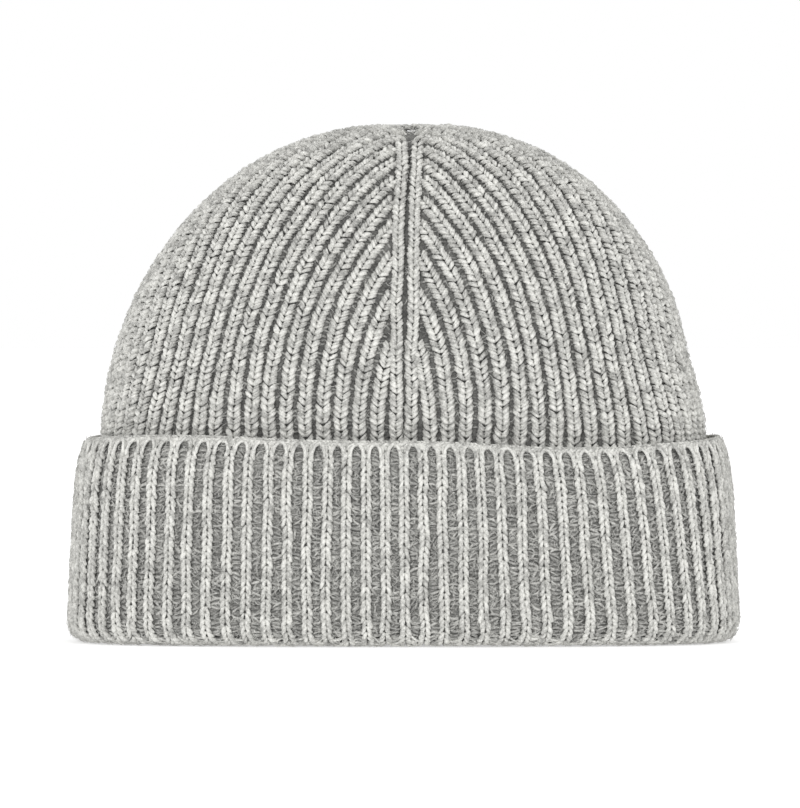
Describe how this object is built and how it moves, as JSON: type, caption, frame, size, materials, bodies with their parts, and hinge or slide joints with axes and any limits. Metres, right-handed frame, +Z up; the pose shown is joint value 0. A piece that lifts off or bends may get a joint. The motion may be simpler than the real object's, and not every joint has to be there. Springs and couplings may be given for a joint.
{
  "type": "knit beanie",
  "caption": "Rib-knit beanie with a deep turned-up cuff, four-gore crown and gathered tip, standing open end down.",
  "frame": {"origin": "on the floor, in the middle of the head opening", "axes": "+Z up to the tip, the front faces -Y, +X to the right of a viewer who looks at the front"},
  "size_m": [0.2306, 0.1206, 0.1785],
  "materials": {
    "crown_knit": "light grey marl wool, half-cardigan rib, matte and slightly fuzzy",
    "cuff_knit": "the same wool from its reverse face, narrow raised ribs, matte and slightly fuzzy",
    "seam_knit": "the same wool in narrow single wales, matte"
  },
  "bodies": {
    "cuff": {"cuff_fold": "cuff_knit", "cuff_panel": "cuff_knit", "cuff_back_seam": "seam_knit", "cast_on_edge": "cuff_knit"},
    "crown": {"crown_gore_front_left": "crown_knit", "crown_gore_front_right": "crown_knit", "crown_gore_back_left": "crown_knit", "crown_gore_back_right": "crown_knit", "decrease_line_front": "seam_knit", "decrease_line_left": "seam_knit", "decrease_line_right": "seam_knit", "back_seam": "seam_knit", "gathered_tip": "seam_knit", "body_wall": "crown_knit"}
  },
  "joints": [
    {"name": "cuff_unroll", "type": "slide", "parent": "cuff", "child": "crown", "axis": [0, 0, 1], "range_m": [0, 0.035]}
  ]
}
